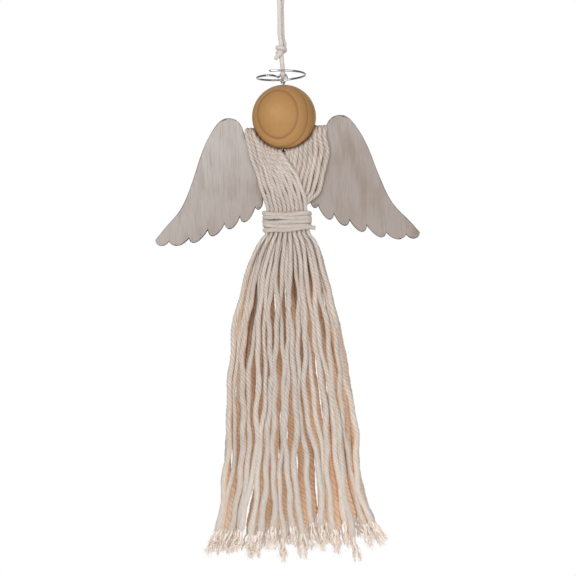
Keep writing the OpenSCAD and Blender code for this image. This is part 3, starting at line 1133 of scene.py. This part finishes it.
@dataclass(frozen=True)
class Tassel:
    """The cotton cords: each is one length, from its front hem over the panel to its back hem."""

    bench: Bench
    drape: Drape
    skirt: Skirt
    fray: Fray = Fray()
    lay: Lay = Lay()
    shade: CordShade = CordShade()
    fray_span: float = 2.2
    step: float = 0.8
    sides: int = 18

    def build(self, cotton: bpy.types.Material) -> None:
        """Make every cord, as its chest stretch and its two falls."""
        for side in Side:
            for k in range(self.bench.count(side)):
                self.build_cord(side, k, cotton)

    def strand(self, side: Side, k: int) -> Strand:
        """Route one cord, slightly uneven in thickness."""
        front, back = (
            np.vstack([self.drape.route(side, k, face), self.skirt.route(side, k, face)]) for face in Face
        )
        table = evenly(np.vstack([front[:0:-1], back]), self.step)
        path, radii = table[:, :3], table[:, 3]
        along = distances(path)
        lumps = 0.05 * np.sin(along / 3.4 + k)
        slubs = 0.035 * np.sin(along / 1.37 + 2 * k + side.value)
        return Strand(self.bench.lowered(path), radii * (1 + (lumps + slubs)))

    def opened(self, strand: Strand) -> np.ndarray:
        """Say how far the cord has untwisted at each point, from 0 to 1."""
        return ease(1 - (strand.to_end - self.fray.length) / self.shade.untwisted)

    def touching(self, rings: Rings) -> np.ndarray:
        """Say how near each point is to the ball, from 0 to 1 where they touch."""
        from_middle = np.linalg.norm(rings.points / MM - (0, 0, self.bench.head_z), axis=2)
        return ease(1 - (from_middle - self.bench.head_r) / self.shade.contact_shadow_reach)

    def swept(self, strand: Strand) -> Rings:
        """Sweep a cord, with painted shade where it presses on others, on the ball and along the sides of its
        back fall, and a painted glow on its inner side below the wrap.
        """
        shade = self.shade
        # lit goes from 0 at the wrap to 1 lower down: the painted glow and the painted shade on the back
        # edges come in there, and the painted shade in the crevices stops.
        lit = ease((self.bench.head_z + self.bench.skirt_top - strand.path[:, 2]) / shade.lit_below)
        looser = shade.opened * self.opened(strand) * np.where(strand.behind, shade.back_opened, 1)
        slack = looser - shade.chest_tight * (1 - lit)
        radii = self.fray.radii(strand.radii, strand.to_end)
        flat_bundle = (0.4, 1, 0)
        outward = unit(strand.path * flat_bundle + (0, 0, 1))
        rings = swept(strand.path, radii, self.sides, self.lay, outward, slack)
        # Painted shade in the crevices between chest cords.
        rings.darken(shade.crevice_shade * rings.flanks() * (1 - lit)[:, None])
        # Painted shade along the sides of the back falls.
        rings.darken(shade.back_edge_shade * rings.edges() * (lit * strand.behind)[:, None])
        # Painted shadow where the cords touch the ball.
        rings.darken(shade.contact_shadow * self.touching(rings))
        # The painted glow only below the wrap.
        rings.inward = rings.inward * lit[:, None]
        return rings

    def build_cord(self, side: Side, k: int, cotton: bpy.types.Material) -> None:
        """Make one cord as its chest stretch and its two free falls, cut inside the wrap.

        Args:
            side: The cord's shoulder.
            k: The cord's number on that shoulder, from 0.
            cotton: The cord's finish.
        """
        shade, name = self.shade, f"{side.name.lower()}_cord_{k + 1}"
        strand = self.strand(side, k)
        path = strand.path
        rings = self.swept(strand)
        wrap_middle = self.bench.head_z - self.bench.waist_drop - self.bench.wrap_h / 2
        first, *_, last = np.flatnonzero(path[:, 2] > wrap_middle)
        plied = np.flatnonzero(strand.to_end > self.fray.length - 3)
        tone = shade.varied_tone * jitter(17 * k + 5 * side.value)
        held = rings.cut(first, last)
        chest = Gathered()
        # Painted shadow: the chest is darker in tone where it touches the ball.
        chest.add(held, tone + shade.chest_pale - shade.contact_shadow_dim * self.touching(held))
        self.placed(chest.made(f"{name}_chest", cotton), name)
        back_tone = shade.back_pale + shade.back_varied * jitter(19 * k + 7 * side.value)
        tones = (tone + shade.hem_pale * self.opened(strand) + back_tone * strand.behind)[:, None]
        frayed = round(self.fray_span * (self.fray.length + self.fray.overlap) / self.step)
        for face, fall, cut, end in (
            (Face.FRONT, path[first::-1], (plied[0], first), plied[0]),
            (Face.BACK, path[last:], (last, plied[-1]), plied[-1]),
        ):
            hanging = Gathered()
            hanging.add(rings.cut(*cut), tones[cut[0]:cut[1] + 1])
            seed = 1000 + 40 * k + 7 * side.value + face.value
            self.fray.add(hanging, fall[-1 - frayed:], strand.radii[end], seed, tone)
            piece = self.placed(hanging.made(f"{name}_{face.name.lower()}_fall", cotton), name)
        LOG.info("%s: %.0f mm of cord from hem to hem", name, strand.length)

    def placed(self, piece: bpy.types.Object, name: str) -> bpy.types.Object:
        """Put a stretch of a cord on the figure in place of its solid."""
        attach(piece, "figure")
        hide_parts(name)
        return piece


@dataclass(frozen=True)
class WaistWrap:
    """The cord that binds the waist: five passes and a short tail at the right."""

    bench: Bench
    lay: Lay = Lay(length=12.5, ply_share=0.86)
    per_turn: int = 24
    tail: float = 3.2
    radius: float = 1.42
    swelling: float = 0.07
    packed: float = 0.88
    tone: float = -0.08
    crevice_shade: float = 2.4
    sag: float = 0.5
    uneven: float = 0.3
    opened: float = 0.5
    step: float = 0.7
    sides: int = 18

    def level(self, place: float) -> float:
        """Give the winding's height at a place of its turns."""
        turns = (place - self.per_turn / 2) / self.per_turn
        return -self.bench.waist_drop - self.bench.wrap_d / 2 - self.bench.wrap_pitch * self.packed * turns

    def place(self, number: int) -> tuple[float, float]:
        """Give x and y of a place on the rounded oblong: each corner has five, and each side one between."""
        half_x, half_y, round_r = self.corner
        corner, step = divmod(number, self.per_turn // 4)
        x = half_x if corner % 4 in (0, 1) else -half_x
        y = half_y if corner % 4 in (1, 2) else -half_y
        angle = math.radians(90 * corner - 90 + 22.5 * min(step, 4))
        x += round_r * math.cos(angle)
        y += round_r * math.sin(angle)
        if step == 5:
            return (x, 0.0) if corner % 2 == 0 else (0.0, y)
        return x, y

    @property
    def corner(self) -> Point:
        """Give x, y and radius of the oblong's right back corner."""
        bench = self.bench
        half_x = bench.waist_x(Side.LEFT, bench.left_count - 1)
        return half_x, bench.layers[1], bench.waist_d / 2 + bench.clear + bench.wrap_d / 2

    def build(self, cotton: bpy.types.Material) -> None:
        """Make the winding in place of its solid.

        Args:
            cotton: The cord's finish.
        """
        half_x, half_y, round_r = self.corner
        right, front = half_x + round_r, -half_y - round_r
        first = self.per_turn // 2 - 1
        steps = self.per_turn * (self.bench.wrap_passes - 1) + self.per_turn // 2
        route = [(*self.place(i), self.level(i)) for i in range(first, first + steps + 1)]
        route += [
            (half_x, front, self.level(steps + 4)),
            (right, front, self.level(steps + 5)),
            (right + self.tail, front + 0.4, self.level(steps + 6)),
        ]
        winding = np.array(route)
        winding[:, 2] -= self.sag * (1 - (winding[:, 0] / right) ** 2).clip(0, 1)
        path = evenly(winding, self.step)
        along = distances(path)
        path[:, 2] += self.uneven * (np.sin(along / 7.7) + 0.6 * np.sin(along / 3.3))
        radii = self.radius * (1 + self.swelling * np.sin(along / 21))
        flat_waist = (0.5, 1, 0)
        outward = unit(path * flat_waist)
        opened = np.full(len(path), self.opened)
        rings = swept(self.bench.lowered(path), radii, self.sides, self.lay, outward, opened)
        # Painted shade in the crevices between the passes.
        rings.darken(self.crevice_shade * rings.flanks())
        rings.inward = np.zeros_like(rings.inward)
        gathered = Gathered()
        gathered.add(rings, self.tone)
        piece = gathered.made("waist_wrap_cord", cotton)
        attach(piece, "figure")
        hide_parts("waist_wrap")
        LOG.info("waist wrap: %.0f mm of cord", along[-1])


@dataclass(frozen=True)
class HangingCord:
    """One length of cord: tail, knot, the loop for a hook and the bight through the wire eye."""

    bench: Bench
    lay: Lay = Lay(ply_share=0.8)
    knot_top: float = -50.1
    knot_pitch: float = 3.0
    knot_turns: float = 1.75
    knot_x: float = 2.35
    knot_y: float = 3.7
    knot_aside: float = -0.5
    radius: float = 1.42
    tapered: float = 0.25
    step: float = 0.6
    sides: int = 18
    tail_route: tuple[Point, ...] = ((-4.3, -3.3, -59.6), (-3.6, -3.4, -58.0))
    loop_route: tuple[Point, ...] = (
        (1.4, 0.9, -48.5), (0.8, 1.0, -47.0), (0.5, 1.1, -43.0), (0.55, 1.2, -36.0),
        (0.7, 1.2, -24.0), (2.4, 0.6, -15.0), (4.6, 0.0, -8.0), (4.4, 0.0, -3.0), (0.0, 0.0, 1.3),
        (-4.4, 0.0, -3.0), (-4.6, 0.0, -8.0), (-2.2, -0.6, -15.0), (-0.85, -1.0, -24.0), (-1.0, -1.0, -36.0),
        (-1.2, -1.1, -42.0), (-0.8, -1.4, -47.0),
    )
    bight_route: tuple[Point, ...] = (
        (-0.5, -1.5, -48.5), (-0.5, -1.5, -57.0), (-0.3, -2.1, -61.0), (0.0, -2.4, -65.0), (0.0, -2.3, -67.8),
        (0.0, -1.5, -69.6), (0.0, 0.0, -70.1), (0.0, 1.5, -69.6), (0.0, 2.3, -67.8), (0.0, 2.4, -65.0),
        (-0.3, 2.1, -61.0), (-0.5, 1.5, -57.0), (-0.5, 1.5, -49.5),
    )

    def knot_route(self) -> np.ndarray:
        """Route the knot's turns from the tail up."""
        a = np.radians(np.arange(360 * self.knot_turns, 10, -12.2))
        x = self.knot_aside + self.knot_x * np.cos(a)
        return np.stack([x, self.knot_y * np.sin(a), self.knot_top - self.knot_pitch * a / FULL_TURN], axis=1)

    def build(self, cotton: bpy.types.Material) -> None:
        """Args:
            cotton: The cord's finish.
        """
        curves = [curve_through(list(route), 6) for route in (self.loop_route, self.bight_route)]
        path = evenly(np.vstack([self.tail_route, self.knot_route(), *curves]), self.step)
        along = distances(path)
        radii = self.radius * (1 - self.tapered * ease(1 - along / 2))
        gathered = Gathered()
        gathered.add(swept(path, radii, self.sides, self.lay))
        piece = gathered.made("hanging_cord_length", cotton)
        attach(piece, "hanger")
        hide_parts("hanging_loop", "hanging_knot", "hanging_bight")
        LOG.info("hanging cord: %.0f mm", along[-1])


@dataclass(frozen=True)
class HaloWire:
    """One length of wire: eye, two legs through the head, a bight in the neck hole and the halo."""

    bench: Bench
    halo_r: float = 15.1
    halo_rise: float = 2.5
    halo_x: float = -1.0
    halo_first: float = 35.0
    halo_turn: float = 353.0
    legs_turned: tuple[float, float] = (-0.35, -0.95)
    radius: float = 0.68
    rounded: float = 0.25
    step: float = 0.35
    sides: int = 16

    @property
    def eye_z(self) -> float:
        """Height of the eye's middle."""
        return self.bench.head_r + self.bench.eye_rise

    def eye(self, degrees: np.ndarray) -> np.ndarray:
        """Give points of the eye."""
        bench = self.bench
        radius = bench.hanger_d / 2 + bench.eye_play + bench.wire_d / 2
        a = np.radians(degrees)
        return np.stack([radius * np.cos(a), np.zeros(len(a)), self.eye_z + radius * np.sin(a)], axis=1)

    def halo(self, degrees: np.ndarray) -> np.ndarray:
        """Give points of the halo ring."""
        a = np.radians(degrees)
        z = self.eye_z - 0.2 + self.halo_rise * (degrees - self.halo_first) / self.halo_turn
        return np.stack([self.halo_x - self.halo_r * np.sin(a), -self.halo_r * np.cos(a), z], axis=1)

    def legs(self) -> np.ndarray:
        """Route the legs through the head and the bight between them."""
        bench = self.bench
        leg = bench.leg_pitch / 2
        bight_y = bench.wing_t / 2 + bench.wire_d + 0.6
        half = np.array(
            [
                (leg, 0, 1 - bench.head_r),
                (0.7, 1.2, -bench.head_r - 1.2),
                (0.15, bight_y - 0.4, 0.6 - bench.neckline_r),
                (0, bight_y, bench.nod_z + 1.8),
                (0, bight_y - 0.5, bench.nod_z + 0.6),
                (0, bight_y - 1.4, bench.nod_z + 0.05),
            ]
        )
        other = (-1, -1, 1)
        bight = np.vstack([half * other, [(0, 0, bench.nod_z)], half[::-1]])
        turned = tuple(share * leg for share in self.legs_turned)
        down = np.array(
            [(*turned, bench.head_r + 1), (*turned, bench.head_r / 2), (-leg, 0, -bench.head_r / 2)]
        )
        return np.vstack([down, curve_through(bight.tolist(), 4), down[::-1] * other])

    def lead(self) -> np.ndarray:
        """Route the wire from the eye out to the halo."""
        points = [
            *self.eye(np.array([172.0])).tolist(),
            (-3.1, -1.4, self.eye_z + 0.1),
            (-3.9, -4.2, self.eye_z + 0.1),
            (-4.9, -7.8, self.eye_z),
            (-6.8, -10.8, self.eye_z - 0.1),
            *self.halo(np.array([self.halo_first])).tolist(),
        ]
        return curve_through(points, 6)

    def build(self, steel: bpy.types.Material) -> None:
        """Make the wire in place of its solid, thicker where the photo shows it.

        Args:
            steel: The wire's finish.
        """
        start = self.eye(np.array([215.0, 228.0, 241.0]))
        around = self.eye(np.arange(-61.0, 160.0, 13.0))
        ring = self.halo(np.arange(self.halo_first + 8, self.halo_first + self.halo_turn + 0.1, 3))
        path = evenly(np.vstack([start, self.legs(), around, self.lead(), ring]), self.step)
        along = distances(path)
        to_end = np.minimum(along, along[-1] - along)
        radii = self.radius * (1 - self.rounded * (1 - ease(to_end / 0.5)))
        radii[path[:, 2] < 0] = self.bench.wire_d / 2
        gathered = Gathered()
        gathered.add(swept(self.bench.lowered(path), radii, self.sides))
        piece = gathered.made("halo_wire_bent", steel)
        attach(piece, "halo")
        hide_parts("halo_wire")
        LOG.info("halo wire: %.0f mm of wire", along[-1])


@dataclass(frozen=True)
class Head:
    """The turned wooden ball, kept as its solid."""

    bench: Bench
    part: str = "head_ball"

    def dress(self) -> None:
        """Varnish the ball."""
        ball = bpy.data.objects[self.part]
        ball.data.materials.clear()
        ball.data.materials.append(VarnishedPine((0.0, 0.0, self.bench.head_z * MM)).made())
        LOG.info("head: %.0f mm ball", 2 * self.bench.head_r)


@dataclass(frozen=True)
class WingPanel:
    """The plywood panel with both wings, kept as its solid, with its sharp edges eased."""

    part: str = "wing_panel"
    eased: float = 0.7
    joined: float = 0.01
    sharper_than: float = 30.0

    def dress(self, plywood: bpy.types.Material) -> None:
        """Whitewash the panel and ease its edges."""
        panel = bpy.data.objects[self.part]
        panel.data.materials.clear()
        panel.data.materials.append(plywood)
        weld = panel.modifiers.new("joined_corners", "WELD")
        weld.merge_threshold = self.joined * MM
        bevel = panel.modifiers.new("eased_edges", "BEVEL")
        bevel.width = self.eased * MM
        bevel.segments = 2
        bevel.limit_method = "ANGLE"
        bevel.angle_limit = math.radians(self.sharper_than)
        bevel.use_clamp_overlap = False
        bevel.harden_normals = True
        LOG.info("wing panel: edges eased by %.1f mm", self.eased)


@dataclass(frozen=True)
class Lamp:
    """A soft lamp aimed at the ornament: where it stands, its width and its power."""

    name: str
    place: Point
    width: float
    watts: float

    def build(self, aim: Point) -> None:
        """Set the lamp up, facing a point."""
        light = bpy.data.lights.new(self.name, "AREA")
        light.shape = "DISK"
        light.size = self.width
        light.energy = self.watts
        lamp = bpy.data.objects.new(self.name, light)
        lamp.location = self.place
        towards = Vector(aim) - Vector(self.place)
        lamp.rotation_euler = towards.to_track_quat("-Z", "Y").to_euler()
        bpy.context.scene.collection.objects.link(lamp)


@dataclass(frozen=True)
class Studio:
    """A white room with soft lamps, the photo's camera and a pale round floor below the hem."""

    aim: Point = (0.0, 0.0, -0.2)
    camera_place: Point = (-0.0007, -0.85, -0.2019)
    camera_roll: float = 1.7
    lens: float = 85.0
    room_light: float = 0.42
    shine: Band = (0.56, 0.1)
    shine_aside: Band = (0.35, 0.9)
    floor_z: float = -0.47
    floor_r: float = 0.33
    lamps: tuple[Lamp, ...] = (
        Lamp("key_softbox", (-0.6, -1.0, 0.12), 0.8, 7.0),
        Lamp("fill_softbox", (0.75, -1.05, -0.45), 0.9, 5.5),
        Lamp("back_softbox", (0.25, 1.1, 0.3), 0.9, 2.0),
    )

    def build(self, paper: bpy.types.Material) -> None:
        """Set up the room, its lamps, its floor and its camera.

        Args:
            paper: The floor's finish.
        """
        scene = bpy.context.scene
        scene.view_settings.view_transform = "Standard"
        for lamp in self.lamps:
            lamp.build(self.aim)
        self.build_room(scene)
        self.build_floor(paper)
        self.build_camera(scene)
        LOG.info("studio: %d lamps", len(self.lamps))

    def build_room(self, scene: bpy.types.Scene) -> None:
        """Make the room white to the eye, dimmer as a light, and dark at the sides of a mirror."""
        scene.world = bpy.data.worlds.new("white_room")
        scene.world.use_nodes = True
        nodes = Nodes(scene.world.node_tree)
        sideways = nodes.add("SeparateXYZ", {0: nodes.add("TexCoord").outputs["Generated"]}).outputs[0]
        mirrored = nodes.ranged(nodes.math("ABSOLUTE", sideways), self.shine_aside, self.shine)
        white = (1.0, 1.0, 1.0, 1.0)
        seen, lit, shining = (
            nodes.add("Background", {"Color": white, "Strength": strength}).outputs[0]
            for strength in (1.0, self.room_light, mirrored)
        )
        ray = nodes.add("LightPath").outputs
        clear = nodes.math("MAXIMUM", ray["Is Camera Ray"], ray["Is Transmission Ray"])
        indirect = nodes.add("MixShader", {0: ray["Is Glossy Ray"], 1: lit, 2: shining}).outputs[0]
        mixed = nodes.add("MixShader", {0: clear, 1: indirect, 2: seen}).outputs[0]
        nodes.add("OutputWorld", {"Surface": mixed})

    def build_floor(self, paper: bpy.types.Material) -> None:
        """Lay the round floor."""
        turns = np.linspace(0, FULL_TURN, 96, endpoint=False)
        rim = [(self.floor_r * math.cos(a), self.floor_r * math.sin(a), self.floor_z) for a in turns]
        mesh = bpy.data.meshes.new("studio_floor")
        mesh.from_pydata(rim, [], [tuple(range(len(rim)))])
        mesh.materials.append(paper)
        floor = bpy.data.objects.new("studio_floor", mesh)
        bpy.context.scene.collection.objects.link(floor)

    def build_camera(self, scene: bpy.types.Scene) -> None:
        """Stand the camera level with the ornament's middle, in front of it."""
        lens = bpy.data.cameras.new("photo_camera")
        lens.lens = self.lens
        camera = bpy.data.objects.new("photo_camera", lens)
        camera.location = self.camera_place
        camera.rotation_euler = (math.pi / 2, math.radians(self.camera_roll), 0.0)
        scene.collection.objects.link(camera)
        scene.camera = camera


def main() -> None:
    """Build the ornament and its studio."""
    logging.basicConfig(level=logging.INFO, format="%(message)s")
    bench = Bench.from_frame()
    cotton = CottonCord().made()
    fine_cotton = CottonCord("fine_cotton_cord", cream="#EBE1DA", groove_shade_share=0.12).made()
    Studio().build(MattePaper().made())
    Head(bench).dress()
    WingPanel().dress(WhitewashedPlywood().made())
    HaloWire(bench).build(DrawnWire().made())
    HangingCord(bench).build(fine_cotton)
    Tassel(bench, Drape(bench), Skirt(bench)).build(cotton)
    WaistWrap(bench).build(cotton)


if __name__ == "__main__":
    main()
